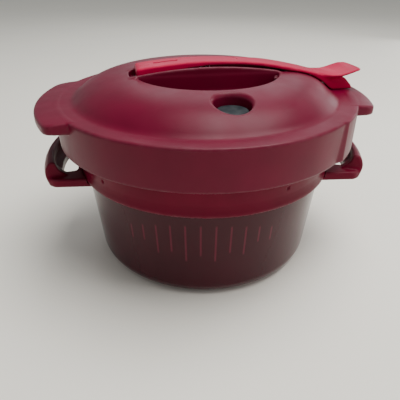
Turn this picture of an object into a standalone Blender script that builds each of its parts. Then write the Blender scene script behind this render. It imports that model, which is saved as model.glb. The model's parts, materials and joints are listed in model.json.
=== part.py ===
"""A two-litre microwave pressure cooker: a plastic pot with two loop handles and a domed bayonet lid.

Frame: +Z up, the origin at the centre of the pot's flat underside, the pot's handles along X.
The lid rests on the pot LID_REST_TURN degrees short of the line of the handles. Sizes are in
millimetres until they reach a mesh, which is in metres.
"""
import math

import bmesh
import bpy
from mathutils import Matrix, Vector

MM = 0.001
GAP = 0.3                    # clearance between pieces that touch

# Turned pieces: steps round the axis
LARGE_STEPS = 48
SMALL_STEPS = 16
TINY_STEPS = 10

# Pot shell
FOOT_RADIUS = 81.0
FOOT_ROUND = 13.5            # radius of the round between underside and wall
WALL = 3.0
POT_RADIUS_LOW = 94.4        # outside, where the round ends
POT_RADIUS_LIP = 100.8       # outside, at the collar's lower edge
COLLAR_Z = 79.5
POT_TOP_Z = 117.5
POT_RIM_RADIUS = 108.0
RIM_THICKNESS = 2.6

# Collar round the pot, with the fixed half of the bayonet
COLLAR_RADIUS = 105.4
COLLAR_NECK_RADIUS = 104.4
TAB_COUNT = 6
TAB_ANGLE = 18.0
TAB_REACH = 112.0
TAB_Z = (109.6, 112.8)

# Lid
LID_REST_TURN = 7.5          # degrees from the locked place, anticlockwise seen from above
FLANGE_RADIUS = 120.0
FLANGE_Z = 137.0
SKIRT_RADIUS_LOW = 118.8
SKIRT_Z = 106.0
SKIRT_INNER = 114.5
SHELL = 3.0
DOME_RISE = 17.6
DOME_RADIUS = 105.5          # where the dome would meet the flange without its fillet
DOME_POWER = 6.5             # a nearly level top and a steep round shoulder
LUG_Z = (106.2, 109.3)
LUG_REACH = 109.0
LUG_CLEAR = 0.8              # degrees between a lug and the tab it turns under, at rest

# Grip well in the dome: a round hollow crossed by a bridge
GRIP_RADIUS = 56.8
GRIP_FLOOR_Z = 141.0
FLOOR = 2.5
BRIDGE_HALF = 16.0
TROUGH_HALF = 13.0
TROUGH_LEFT = 60.5
TROUGH_RIGHT = 67.0
TROUGH_FLOOR_Z = 149.7
BRIDGE_CROWN_Z = 160.2
BRIDGE_ARCH = 0.00145        # fall of the bridge's top, in mm for each mm squared from its middle
BRIDGE_REACH = 65.0

# Ears of the lid
EAR_REACH = 134.2
EAR_ROOT = 119.2
EAR_SIDE = 57.3              # half width, between the ear's straight sides
EAR_HALF = 28.4              # degrees, where the ear leaves the flange
EAR_CORNER = 60              # sharpness of the ear's two outer corners
EAR_DROOP = 1.9
EAR_DEPTH = 8.5
PANEL_HALF = 47.0            # degrees either side of the right ear
PANEL_RADIUS = 121.6

# Indicator well
WELL_PLACE = (2.8, -77.0)
WELL_RADIUS = 12.8
WELL_TUBE_RADIUS = 14.8
WELL_FLOOR_Z = 140.5
WELL_FLOOR = 2.0
DISC_Z = 146.0               # top of the indicator's disc
DISC_RADIUS = 11.0
HUB_RADIUS = 4.2
HUB_HOLE = 4.6
INDICATOR_TRAVEL = 3.0
SEAL_THICKNESS = 1.8

# Inner cover, which carries the gasket and the valves
INNER_RIM_RADIUS = 109.6
INNER_PLATE_Z = 124.5        # top of its flat rim
INNER_CROWN_Z = 133.0        # top at its centre
INNER_SHELL = 2.5
INNER_CROWN_RADIUS = 88.0
SEAT_HOLE = 6.8
INDICATOR_HOLE = 5.4
PLUG_HOLE = 5.8
PLUG_PLACE = (-46.0, 46.0)

# Release lever
PIN_PLACE = (-51.3, 153.6)   # x and z of the pin's axis, in the lid
PIN_RADIUS = 1.4
PIN_HALF = 14.6
BARREL_RADIUS = 3.4
LEVER_WALL = 2.0
PLATE = 2.2
BUTTON_FOOT_Z = 159.3        # underside of the button between the lever and the valve's stem

# Pot handles
HANDLE_Z = (75.5, 82.5)
HANDLE_REACH = 132.2
HANDLE_BULGE = 134.4         # the upright wall's outermost line
HANDLE_HALF = 47.5           # half width of the ledge, along Y
HANDLE_ROOT_RADIUS = COLLAR_RADIUS + GAP
HANDLE_TOP_Z = 95.0
HANDLE_WALL_HALF = 18.6      # degrees
HANDLE_OPEN = (108.4, 120.8) # radii of the finger opening
SCREW_PLACE = (111.5, 39.5)

PLASTIC = {
    "cover_red": ((0.165, 0.022, 0.034), 0.46),
    "collar_red": ((0.100, 0.008, 0.016), 0.42),
    "pot_dark": ((0.052, 0.010, 0.013), 0.20),
    "lever_red": ((0.560, 0.006, 0.040), 0.36),
    "inner_grey": ((0.360, 0.350, 0.345), 0.45),
    "silicone": ((0.230, 0.225, 0.220), 0.62),
    "indicator_teal": ((0.060, 0.095, 0.105), 0.40),
}
STEEL = ((0.560, 0.560, 0.570), 0.28)


# ---------------------------------------------------------------- scene and materials

def clear_scene():
    for thing in list(bpy.data.objects):
        bpy.data.objects.remove(thing, do_unlink=True)


def make_material(name, colour, roughness, metallic=0.0):
    material = bpy.data.materials.new(name)
    material.use_nodes = True
    shader = material.node_tree.nodes["Principled BSDF"]
    shader.inputs["Base Color"].default_value = (*colour, 1.0)
    shader.inputs["Roughness"].default_value = roughness
    shader.inputs["Metallic"].default_value = metallic
    return material


def plastic(piece, kind):
    """Each sub-part gets its own material, from the kind of plastic it is moulded in."""
    colour, roughness = PLASTIC[kind]
    piece.data.materials.append(make_material(piece.name + "_" + kind, colour, roughness))


def steel(piece):
    piece.data.materials.append(make_material(piece.name + "_steel", *STEEL, metallic=1.0))


# ---------------------------------------------------------------- making meshes

def new_object(name, mesh_builder, parent=None):
    """Turn a bmesh, in millimetres, into a named object in metres."""
    bmesh.ops.recalc_face_normals(mesh_builder, faces=mesh_builder.faces)
    bmesh.ops.scale(mesh_builder, vec=(MM, MM, MM), verts=mesh_builder.verts)
    mesh = bpy.data.meshes.new(name)
    mesh_builder.to_mesh(mesh)
    mesh_builder.free()
    piece = bpy.data.objects.new(name, mesh)
    bpy.context.scene.collection.objects.link(piece)
    if parent:
        piece.parent = parent
    mesh.shade_smooth()
    mesh.set_sharp_from_angle(angle=math.radians(32))
    return piece


def turned(name, profile, steps=SMALL_STEPS, centre=(0.0, 0.0), parent=None):
    """Turn a closed (radius, z) outline about Z through centre. A radius of 0 is a point on the axis."""
    built = bmesh.new()
    rings = []
    for radius, z in profile:
        if radius < 1e-6:
            rings.append([built.verts.new((centre[0], centre[1], z))])
            continue
        ring = []
        for step in range(steps):
            angle = 2 * math.pi * step / steps
            ring.append(built.verts.new((centre[0] + radius * math.cos(angle),
                                         centre[1] + radius * math.sin(angle), z)))
        rings.append(ring)
    for index, low in enumerate(rings):
        high = rings[(index + 1) % len(rings)]
        if len(low) == 1 and len(high) == 1:
            continue
        for step in range(steps):
            after = (step + 1) % steps
            if len(low) == 1:
                built.faces.new((low[0], high[after], high[step]))
            elif len(high) == 1:
                built.faces.new((low[step], low[after], high[0]))
            else:
                built.faces.new((low[step], low[after], high[after], high[step]))
    return new_object(name, built, parent)


def prism(name, outline, bottom, top, parent=None):
    """A closed (x, y) outline, anticlockwise, raised from bottom to top."""
    built = bmesh.new()
    low = [built.verts.new((x, y, bottom)) for x, y in outline]
    high = [built.verts.new((x, y, top)) for x, y in outline]
    join_rings(built, [low, high])
    return new_object(name, built, parent)


def join_rings(built, rings, closed=False):
    """Skin a row of equal rings of vertices, and cap both ends unless the row closes on itself."""
    last = len(rings) if closed else len(rings) - 1
    for index in range(last):
        low = rings[index]
        high = rings[(index + 1) % len(rings)]
        for step in range(len(low)):
            after = (step + 1) % len(low)
            built.faces.new((low[step], low[after], high[after], high[step]))
    if not closed:
        built.faces.new(rings[0][::-1])
        built.faces.new(rings[-1])


def loft(name, sections, parent=None):
    """Skin a row of equal closed sections, each a list of (x, y, z)."""
    built = bmesh.new()
    join_rings(built, [[built.verts.new(point) for point in section] for section in sections])
    return new_object(name, built, parent)


def rod_along_y(name, x, z, radius, half, steps=TINY_STEPS, parent=None):
    sections = []
    for y in (-half, half):
        ring = []
        for step in range(steps):
            angle = 2 * math.pi * step / steps
            ring.append((x + radius * math.cos(angle), y, z + radius * math.sin(angle)))
        sections.append(ring)
    return loft(name, sections, parent)


def rod_along_z(name, place, radius, bottom, top, steps=SMALL_STEPS, parent=None):
    return turned(name, [(0, bottom), (radius, bottom), (radius, top), (0, top)], steps, place, parent)


def combine(piece, other, operation):
    """Add or cut with a hidden guide object."""
    other.display_type = 'WIRE'
    other.hide_render = True
    change = piece.modifiers.new(operation.lower() + "_" + other.name, 'BOOLEAN')
    change.operation = operation
    change.solver = 'EXACT'
    change.object = other


def add(piece, other):
    combine(piece, other, 'UNION')


def cut(piece, other):
    combine(piece, other, 'DIFFERENCE')


def arc(centre, radius, start, end, count):
    """Points on an arc from start to end, in degrees."""
    points = []
    for step in range(count + 1):
        angle = math.radians(start + (end - start) * step / count)
        points.append((centre[0] + radius * math.cos(angle), centre[1] + radius * math.sin(angle)))
    return points


def between(table, x):
    """Straight-line reading of a short list of (x, value)."""
    for (x0, value0), (x1, value1) in zip(table, table[1:]):
        if x <= x1:
            return value0 + (value1 - value0) * (x - x0) / (x1 - x0)
    return table[-1][1]


def ring_block(name, inner, outer, middle, half_angle, bottom, top, steps=3, parent=None):
    """A block bent round the Z axis, between two radii and two heights."""
    outline = arc((0, 0), inner, middle + half_angle, middle - half_angle, steps)
    outline += arc((0, 0), outer, middle - half_angle, middle + half_angle, steps)
    return prism(name, outline, bottom, top, parent)


# ---------------------------------------------------------------- pot

def pot_radius(z):
    """Outside radius of the pot's straight wall."""
    slope = (POT_RADIUS_LIP - POT_RADIUS_LOW) / (COLLAR_Z - FOOT_ROUND)
    return POT_RADIUS_LOW + slope * (z - FOOT_ROUND)


def make_pot_shell():
    foot = arc((FOOT_RADIUS, FOOT_ROUND), FOOT_ROUND, -90, -4, 5)
    rim_under = POT_TOP_Z - RIM_THICKNESS
    outside = [(0, 0)] + foot + [(POT_RADIUS_LIP, COLLAR_Z), (pot_radius(rim_under), rim_under)]
    rim = [(POT_RIM_RADIUS, rim_under), (POT_RIM_RADIUS, POT_TOP_Z), (pot_radius(POT_TOP_Z) - WALL, POT_TOP_Z)]
    inner_round = arc((FOOT_RADIUS, FOOT_ROUND), FOOT_ROUND - WALL, -4, -90, 4)
    inside = [(POT_RADIUS_LIP - WALL, COLLAR_Z)] + inner_round + [(0, WALL)]
    plastic(turned("pot_shell", outside + rim + inside, LARGE_STEPS), "pot_dark")


def make_pot_collar():
    top = POT_TOP_Z - RIM_THICKNESS - GAP
    hug = POT_RADIUS_LIP + GAP
    hug_top = pot_radius(top) + GAP
    profile = [(hug, COLLAR_Z), (COLLAR_RADIUS, COLLAR_Z), (COLLAR_RADIUS, COLLAR_Z + 3.6),
               (COLLAR_NECK_RADIUS, COLLAR_Z + 4.8), (COLLAR_NECK_RADIUS + 2.6, top), (hug_top, top)]
    collar = turned("pot_collar", profile, LARGE_STEPS)
    for index in range(TAB_COUNT):
        middle = 30.0 + 360.0 * index / TAB_COUNT
        tab = ring_block(f"guide_tab_{index + 1}", COLLAR_NECK_RADIUS, TAB_REACH, middle, TAB_ANGLE / 2, *TAB_Z)
        add(collar, tab)
    plastic(collar, "collar_red")


def handle_outline(side):
    """Plan of a handle's ledge: it hugs the collar and has rounded outer corners."""
    root = math.degrees(math.asin(HANDLE_HALF / HANDLE_ROOT_RADIUS))
    corner = 5.0
    reach = HANDLE_REACH - corner
    corner_angle = math.degrees(math.asin((HANDLE_HALF - corner) / reach))
    corner_x = reach * math.cos(math.radians(corner_angle))
    points = arc((0, 0), HANDLE_ROOT_RADIUS, root, -root, 8)
    points += arc((corner_x, -(HANDLE_HALF - corner)), corner, -90, -corner_angle, 4)
    points += arc((0, 0), HANDLE_REACH, -corner_angle, corner_angle, 6)[1:-1]
    points += arc((corner_x, HANDLE_HALF - corner), corner, corner_angle, 90, 4)
    return [(side * x, side * y) for x, y in points]


def make_pot_handle(name, side):
    """A ledge with a finger opening and an upright outer wall that leans in towards the pot."""
    facing = 0.0 if side > 0 else 180.0
    handle = prism(name, handle_outline(side), *HANDLE_Z)

    foot = HANDLE_Z[0] + 1.0
    wall_profile = [(HANDLE_REACH - 0.6, foot), (HANDLE_BULGE, 84.5), (HANDLE_BULGE - 1.2, 90.0),
                    (HANDLE_BULGE - 4.6, HANDLE_TOP_Z), (HANDLE_BULGE - 8.8, HANDLE_TOP_Z),
                    (HANDLE_BULGE - 7.8, 90.0), (HANDLE_BULGE - 9.2, 86.0), (HANDLE_OPEN[1] + 1.4, foot)]
    sections = []
    for step in range(9):
        angle = math.radians(facing - HANDLE_WALL_HALF + 2 * HANDLE_WALL_HALF * step / 8)
        drop = 2.0 if step in (0, 8) else 0.0
        ring = []
        for radius, z in wall_profile:
            height = z - drop if z > HANDLE_TOP_Z - 1 else z
            ring.append((radius * math.cos(angle), radius * math.sin(angle), height))
        sections.append(ring)
    add(handle, loft("guide_wall_" + name, sections))

    root = ring_block("guide_root_" + name, HANDLE_ROOT_RADIUS + 0.2, HANDLE_ROOT_RADIUS + 2.8, facing, 23.6,
                      HANDLE_Z[0] + 0.5, HANDLE_Z[1] + 7.0, 7)
    add(handle, root)

    opening = arc((0, 0), HANDLE_OPEN[0], 15.5, -15.5, 6) + arc((0, 0), HANDLE_OPEN[1], -14.0, 14.0, 6)
    turned_opening = [(side * x, side * y) for x, y in opening]
    cut(handle, prism("guide_opening_" + name, turned_opening, HANDLE_Z[0] - 5, HANDLE_Z[1] + 0.9))
    for index, tangent in enumerate((-1, 1)):
        place = (side * SCREW_PLACE[0], side * tangent * SCREW_PLACE[1])
        cut(handle, rod_along_z(f"guide_screw_hole_{name}_{index}", place, 1.8, HANDLE_Z[0] - 5, 81.0, TINY_STEPS))
        cut(handle, rod_along_z(f"guide_head_hole_{name}_{index}", place, 3.7, HANDLE_Z[0] - 5, 78.0, TINY_STEPS))
        make_handle_screw(f"{name}_screw_{index + 1}", place)
    plastic(handle, "collar_red")


def make_handle_screw(name, place):
    profile = [(0, 76.2), (1.1, 76.2), (1.1, 75.9), (3.2, 75.9), (3.2, 77.6), (1.5, 77.6), (1.5, 80.6), (0, 80.6)]
    steel(turned(name, profile, TINY_STEPS, place))


# ---------------------------------------------------------------- inner lid

def crown_z(radius):
    """Top of the inner cover's crown."""
    return INNER_CROWN_Z - 4.5 * (radius / INNER_CROWN_RADIUS) ** 2


def make_inner_cover(parent):
    top = [(r, crown_z(r)) for r in (0, 44, INNER_CROWN_RADIUS)]
    under = [(r, crown_z(r) - INNER_SHELL) for r in (INNER_CROWN_RADIUS - 0.6, 44, 0)]
    rim = [(91.0, INNER_PLATE_Z), (INNER_RIM_RADIUS, INNER_PLATE_Z), (INNER_RIM_RADIUS, 118.1), (107.6, 118.1),
           (107.6, 122.0), (98.6, 122.0), (98.6, 118.6), (96.4, 118.6), (96.4, 122.0), (90.4, 122.0)]
    cover = turned("inner_cover", top + rim + under, LARGE_STEPS, parent=parent)
    for hole, place, radius in (("seat", (0, 0), SEAT_HOLE), ("indicator", WELL_PLACE, INDICATOR_HOLE),
                                ("plug", PLUG_PLACE, PLUG_HOLE)):
        cut(cover, rod_along_z("guide_hole_" + hole, place, radius, 118, 140, parent=parent))
    plastic(cover, "inner_grey")


def make_silicone_gasket(parent):
    """The sealing ring sits in the inner cover's channel and bears on the pot's rim."""
    profile = [(99.0, 117.8), (107.2, 117.8), (107.2, 121.7), (99.0, 121.7), (99.0, 120.6), (101.0, 119.7),
               (99.0, 118.8)]
    plastic(turned("silicone_gasket", profile, LARGE_STEPS, parent=parent), "silicone")


def grommet(name, place, hole, through, top, bottom, flange, parent):
    """A flanged bush that straddles a plate."""
    neck = hole - GAP
    profile = [(through, bottom - 2.2), (flange, bottom - 2.0), (flange, bottom - GAP), (neck, bottom - GAP),
               (neck, top + GAP), (flange, top + GAP), (flange - 0.6, top + 2.0), (through, top + 2.0)]
    plastic(turned(name, profile, SMALL_STEPS, place, parent), "silicone")


def make_safety_plug(parent):
    """A silicone over-pressure plug, thin in the middle, pushed through the inner cover."""
    top = crown_z(math.hypot(*PLUG_PLACE) - PLUG_HOLE) + GAP
    bottom = crown_z(math.hypot(*PLUG_PLACE) + PLUG_HOLE) - INNER_SHELL - GAP
    neck = PLUG_HOLE - GAP
    profile = [(0, bottom - 3.0), (3.2, bottom - 3.0), (8.2, bottom - 1.6), (8.2, bottom - 0.8), (neck, bottom - 0.8),
               (neck, top + 0.8), (8.2, top + 0.8), (8.2, top + 2.2), (4.0, top + 3.0), (3.4, top + 0.9),
               (0, top + 0.9)]
    plastic(turned("safety_plug", profile, SMALL_STEPS, PLUG_PLACE, parent), "silicone")


def make_vent_filter(parent):
    """A slotted cup under the relief valve keeps food out of it."""
    top = crown_z(14) - INNER_SHELL - 3.4
    profile = [(0, top - 8.6), (12.6, top - 8.6), (14.0, top - 7.6), (14.0, top), (12.4, top), (12.4, top - 6.8),
               (0, top - 6.8)]
    cup = turned("vent_filter", profile, SMALL_STEPS, parent=parent)
    for index in range(3):
        angle = math.radians(15 + 60 * index)
        along = Vector((math.cos(angle), math.sin(angle)))
        across = Vector((-along.y, along.x))
        corners = [along * 20 * a + across * 1.3 * b for a, b in ((-1, -1), (1, -1), (1, 1), (-1, 1))]
        slot = prism(f"guide_filter_slot_{index + 1}", [tuple(corner) for corner in corners], top - 5.6, top - 1.8,
                     parent)
        cut(cup, slot)
    plastic(cup, "inner_grey")


# ---------------------------------------------------------------- outer lid

def dome_z(radius):
    return FLANGE_Z + DOME_RISE * (1 - (radius / DOME_RADIUS) ** DOME_POWER)


def dome_inside(radius):
    """The point one shell's thickness under the dome, square to its surface."""
    fall = math.atan(DOME_RISE * DOME_POWER / DOME_RADIUS * (radius / DOME_RADIUS) ** (DOME_POWER - 1))
    return (radius - SHELL * math.sin(fall), dome_z(radius) - SHELL * math.cos(fall))


def bridge_z(x):
    """Top of the bridge across the grip well, which arches above the dome."""
    return BRIDGE_CROWN_Z - BRIDGE_ARCH * x * x


def make_bridge(parent):
    """The arched upper part of the bridge; its ends sink into the dome."""
    sections = []
    for step in range(13):
        x = BRIDGE_REACH * (step / 6 - 1)
        top = bridge_z(x) if 0 < step < 12 else dome_z(BRIDGE_REACH) - 0.5
        sections.append([(x, -BRIDGE_HALF, TROUGH_FLOOR_Z - FLOOR), (x, BRIDGE_HALF, TROUGH_FLOOR_Z - FLOOR),
                         (x, BRIDGE_HALF, top - 0.6), (x, BRIDGE_HALF - 0.6, top),
                         (x, 0.6 - BRIDGE_HALF, top), (x, -BRIDGE_HALF, top - 0.6)])
    return loft("guide_bridge", sections, parent)


def make_outer_cover(parent):
    shoulder = (72, 82, 89, 94.5, 98.5, 101.5)
    dome = [(r, dome_z(r)) for r in (0, 57) + shoulder]
    fillet = [(104.2, 138.6), (107.5, FLANGE_Z)]
    edge = [(FLANGE_RADIUS - 1.2, FLANGE_Z), (FLANGE_RADIUS, FLANGE_Z - 1.2), (SKIRT_RADIUS_LOW, SKIRT_Z)]
    drum = GRIP_RADIUS + FLOOR
    inside = [(SKIRT_INNER, SKIRT_Z), (SKIRT_INNER, FLANGE_Z - SHELL), (103.4, FLANGE_Z - SHELL)]
    inside += [dome_inside(r) for r in shoulder[::-1]]
    inside += [(drum, dome_z(drum) - SHELL), (drum, GRIP_FLOOR_Z - FLOOR), (0, GRIP_FLOOR_Z - FLOOR)]
    cover = turned("outer_cover", dome + fillet + edge + inside, LARGE_STEPS, parent=parent)

    add(cover, make_bridge(parent))
    add(cover, make_panel(parent))
    for side in (1, -1):
        add(cover, make_ear(side, parent))
        cut(cover, make_ear_pocket(side, parent))
    add(cover, make_well_tube(parent))
    for index in range(TAB_COUNT):
        middle = 60.0 + 360.0 * index / TAB_COUNT - lug_rest_shift()
        lug = ring_block(f"guide_lug_{index + 1}", LUG_REACH, SKIRT_INNER + 1.2, middle, TAB_ANGLE / 2, *LUG_Z,
                         parent=parent)
        add(cover, lug)
        press_pad = ring_block(f"guide_press_pad_{index + 1}", 103.8, 107.4, 60.0 * index, 5.0,
                               INNER_PLATE_Z + GAP, FLANGE_Z - 2.0, parent=parent)
        add(cover, press_pad)

    for side in (1, -1):
        cut(cover, make_grip_pocket(side, parent))
    cut(cover, make_trough(parent))
    cut(cover, box("guide_bridge_core", (-48, -13, 137), (48, 13, TROUGH_FLOOR_Z - FLOOR), parent))
    cut(cover, rod_along_z("guide_stem_hole", (0, 0), 2.8, 140, 155, SMALL_STEPS, parent))
    cut(cover, rod_along_y("guide_pin_hole", *PIN_PLACE, PIN_RADIUS + GAP, PIN_HALF + GAP, parent=parent))
    cut(cover, rod_along_z("guide_well", WELL_PLACE, WELL_RADIUS, WELL_FLOOR_Z, 170, 28, parent))
    cut(cover, rod_along_z("guide_hub_hole", WELL_PLACE, HUB_HOLE, 130, 145, SMALL_STEPS, parent))
    plastic(cover, "cover_red")


def lug_rest_shift():
    """Turn between the middle of a gap and a lug at rest, in the lid's own frame.

    The tabs stand at 30, 90, ... degrees in the pot. At rest each lug waits LUG_CLEAR degrees
    short of the tab it turns under, clockwise.
    """
    waiting = TAB_ANGLE + LUG_CLEAR - 30.0
    return LID_REST_TURN - waiting


def box(name, low, high, parent=None):
    outline = [(low[0], low[1]), (high[0], low[1]), (high[0], high[1]), (low[0], high[1])]
    return prism(name, outline, low[2], high[2], parent)


def make_grip_pocket(side, parent):
    """Half of the round grip hollow, in front of or behind the bridge."""
    start = math.degrees(math.asin(BRIDGE_HALF / GRIP_RADIUS))
    outline = arc((0, 0), GRIP_RADIUS, start, 180 - start, 20)
    if side < 0:
        outline = [(-x, -y) for x, y in outline]
    return prism("guide_grip_" + ("rear" if side > 0 else "front"), outline, GRIP_FLOOR_Z, 175, parent)


def make_well_tube(parent):
    """A block for the indicator's well, its top kept just under the dome."""
    block = rod_along_z("guide_well_tube", WELL_PLACE, WELL_TUBE_RADIUS, WELL_FLOOR_Z - WELL_FLOOR, 150, 28, parent)
    for vertex in block.data.vertices:
        if vertex.co.z > (WELL_FLOOR_Z + 1) * MM:
            vertex.co.z = (dome_z(math.hypot(vertex.co.x, vertex.co.y) / MM) - 1.0) * MM
    return block


def make_trough(parent):
    """The lever's trough along the bridge, with a rounded left end."""
    corner = 5.0
    outline = [(corner - TROUGH_LEFT, -TROUGH_HALF), (TROUGH_RIGHT - 3, -TROUGH_HALF)]
    outline += [(TROUGH_RIGHT, 3 - TROUGH_HALF), (TROUGH_RIGHT, TROUGH_HALF - 3)]
    outline += [(TROUGH_RIGHT - 3, TROUGH_HALF), (corner - TROUGH_LEFT, TROUGH_HALF)]
    outline += arc((corner - TROUGH_LEFT, TROUGH_HALF - corner), corner, 90, 180, 4)[1:]
    outline += arc((corner - TROUGH_LEFT, corner - TROUGH_HALF), corner, 180, 270, 4)[:-1]
    return prism("guide_trough", outline, TROUGH_FLOOR_Z, 175, parent)


def ear_reach(angle, reach, side):
    """Outer radius of an ear at an angle from its middle: a round end between two straight sides."""
    straight = side / max(math.sin(math.radians(abs(angle))), 0.1)
    return (reach ** -EAR_CORNER + straight ** -EAR_CORNER) ** (-1 / EAR_CORNER)


def ear_sections(side, half, profile_at):
    """Upright sections of an ear, each at its own angle."""
    facing = 0.0 if side > 0 else 180.0
    steps = 16
    sections = []
    for step in range(steps + 1):
        share = math.sin(math.radians(90.0 * (2 * step / steps - 1)))
        angle = half * share
        turn = math.radians(facing + angle)
        sections.append([(radius * math.cos(turn), radius * math.sin(turn), z)
                         for radius, z in profile_at(angle)])
    return sections


def ear_top(radius):
    return FLANGE_Z - EAR_DROOP * max(0.0, (radius - EAR_ROOT) / (EAR_REACH - EAR_ROOT)) ** 1.4


def ear_profile(angle):
    reach = ear_reach(angle, EAR_REACH, EAR_SIDE)
    middle = 0.5 * (reach - 0.8 + EAR_ROOT)
    foot = FLANGE_Z - EAR_DEPTH
    return [(116.0, foot), (116.0, FLANGE_Z - 0.3), (EAR_ROOT, FLANGE_Z - 0.3), (middle, ear_top(middle)),
            (reach - 0.8, ear_top(reach)), (reach, ear_top(reach) - 0.8), (reach, foot)]


def ear_pocket_profile(angle):
    reach = ear_reach(angle, EAR_REACH - SHELL, EAR_SIDE - SHELL)
    roof = ear_top(reach) - SHELL
    return [(EAR_ROOT + 0.9, FLANGE_Z - 30), (EAR_ROOT + 0.9, roof - 0.6), (reach, roof), (reach, FLANGE_Z - 30)]


def make_ear(side, parent):
    name = "guide_ear_" + ("right" if side > 0 else "left")
    return loft(name, ear_sections(side, EAR_HALF, ear_profile), parent)


def make_ear_pocket(side, parent):
    """The ear is hollow underneath, outside the skirt."""
    name = "guide_ear_pocket_" + ("right" if side > 0 else "left")
    return loft(name, ear_sections(side, EAR_HALF - 2.1, ear_pocket_profile), parent)


def make_panel(parent):
    """A raised panel on the skirt round the right ear, up to the flange's top."""
    return ring_block("guide_panel", SKIRT_INNER + 0.8, PANEL_RADIUS, 0, PANEL_HALF, SKIRT_Z + 0.4, FLANGE_Z - 0.15,
                      20, parent)


def make_retaining_ring(parent):
    """A snap ring inside the skirt carries the inner cover and lets it turn."""
    profile = [(108.5, 116.3), (SKIRT_INNER - GAP, 116.3), (SKIRT_INNER - GAP, 121.5), (110.2, 121.5),
               (110.2, 117.8), (108.5, 117.8)]
    plastic(turned("retaining_ring", profile, LARGE_STEPS, parent=parent), "collar_red")


def make_relief_spring(parent):
    """Three turns of wire between the trough's floor and the stem's button."""
    bottom = TROUGH_FLOOR_Z + GAP
    top = BUTTON_FOOT_Z
    wire = 0.45
    coil = 4.1
    turns = 3.5
    steps = 49
    sections = []
    for step in range(steps + 1):
        share = step / steps
        angle = 2 * math.pi * turns * share
        z = bottom + wire + (top - bottom - 2 * wire) * share
        outward = Vector((math.cos(angle), math.sin(angle), 0))
        ring = []
        for corner in range(5):
            turn = 2 * math.pi * corner / 5
            point = outward * (coil + wire * math.cos(turn)) + Vector((0, 0, z + wire * math.sin(turn)))
            ring.append(tuple(point))
        sections.append(ring)
    steel(loft("relief_spring", sections, parent))


def make_lever_pin(parent):
    steel(rod_along_y("lever_pin", *PIN_PLACE, PIN_RADIUS, PIN_HALF, parent=parent))


# ---------------------------------------------------------------- moving pieces

LEVER_TOP = [(-55.0, 159.4), (-53.4, 160.4), (-45.0, 161.5), (-30.0, 163.0), (-15.0, 163.9), (0.0, 164.0),
             (15.0, 163.6), (30.0, 162.7), (45.0, 161.4), (54.0, 160.1), (66.0, 157.8), (78.0, 155.2),
             (84.0, 153.8), (90.0, 152.2), (97.0, 150.4), (105.0, 148.8), (112.0, 148.0), (118.0, 146.6),
             (122.0, 142.6), (126.0, 138.8)]
LEVER_LOW = [(-55.0, 155.2), (-53.4, 151.6), (-51.3, 150.3), (-47.0, 151.8), (-30.0, 156.4), (-15.0, 159.2),
             (0.0, 160.6), (15.0, 160.7), (30.0, 160.1), (45.0, 158.5), (54.0, 156.9), (66.0, 154.8),
             (78.0, 152.7), (84.0, 151.2), (90.0, 148.9), (97.0, 145.0), (101.0, 142.0), (105.0, 138.8),
             (107.6, 137.4), (126.0, 137.4)]
LEVER_HALF = [(-55.0, 11.8), (-53.4, 12.6), (-30.0, 12.1), (0.0, 10.6), (30.0, 10.4), (54.0, 11.6), (66.0, 12.5),
              (97.0, 12.8), (126.0, 12.8)]


def make_release_lever(parent):
    """An arched channel hinged at its left end, with a raised paddle and a foot at its right end."""
    stations = [-55.0, -53.4, -51.3, -47, -38, -30, -22, -15, 0, 15, 30, 45, 54, 66, 78, 84, 90, 97, 101, 105,
                107.6, 112, 118, 122, 126]
    sections = []
    for x in stations:
        top = between(LEVER_TOP, x)
        low = between(LEVER_LOW, x)
        half = between(LEVER_HALF, x)
        ceiling = max(top - PLATE, low + 0.2)
        sections.append([(x, -half, low), (x, -half, top), (x, half, top), (x, half, low),
                         (x, half - LEVER_WALL, low), (x, half - LEVER_WALL, ceiling),
                         (x, LEVER_WALL - half, ceiling), (x, LEVER_WALL - half, low)])
    lever = loft("release_lever", sections, parent)
    add(lever, rod_along_y("guide_lever_barrel", *PIN_PLACE, BARREL_RADIUS, 11.4, SMALL_STEPS, parent))
    add(lever, make_paddle(parent))
    add(lever, box("guide_lever_toe", (123.0, -12.0, 137.5), (125.9, 12.0, 139.2), parent))
    cut(lever, rod_along_y("guide_lever_bore", *PIN_PLACE, PIN_RADIUS + GAP, 20, parent=parent))
    cut(lever, box("guide_lever_slot", (-41, -1.3, 155), (-22, 1.3, 170), parent))
    plastic(lever, "lever_red")
    return lever


def make_paddle(parent):
    """A leaf-shaped thumb paddle that rises towards its tip."""
    outline = [(100.0, 12.0, 147.3), (105.0, 14.8, 146.6), (112.0, 16.6, 146.9), (118.0, 17.0, 148.4),
               (124.0, 16.2, 150.2), (129.0, 13.4, 151.0), (133.0, 7.6, 150.5), (134.2, 3.4, 150.2)]
    thickness = 2.2
    sections = []
    for x, half, z in outline:
        across = [(-1.0, 1.0), (-0.55, 0.15), (0.0, -0.1), (0.55, 0.15), (1.0, 1.0)]
        upper = [(x, half * y, z + lift + thickness) for y, lift in across]
        lower = [(x, half * y, z + lift) for y, lift in across]
        sections.append(lower + upper[::-1])
    return loft("guide_paddle", sections, parent)


def make_relief_stem(parent):
    """The relief valve's stem: its head closes the seat while the lever lies down."""
    head = crown_z(0) + 2.0 + GAP
    profile = [(0, head - 6.0), (1.6, head - 6.0), (2.2, head - 4.6), (2.2, head), (7.4, head), (7.4, head + 1.6),
               (4.4, head + 3.4), (2.4, head + 3.4), (2.4, BUTTON_FOOT_Z - 0.4), (0, BUTTON_FOOT_Z - 0.4)]
    steel(turned("relief_stem", profile, SMALL_STEPS, parent=parent))


def make_stem_button(parent):
    """The button under the lever, pressed on the stem."""
    foot = BUTTON_FOOT_Z
    profile = [(0, foot + 2.1), (5.4, foot + 2.1), (6.0, foot + 1.5), (6.0, foot + 0.3), (4.6, foot + 0.3), (0, foot)]
    plastic(turned("stem_button", profile, SMALL_STEPS, parent=parent), "indicator_teal")


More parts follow.
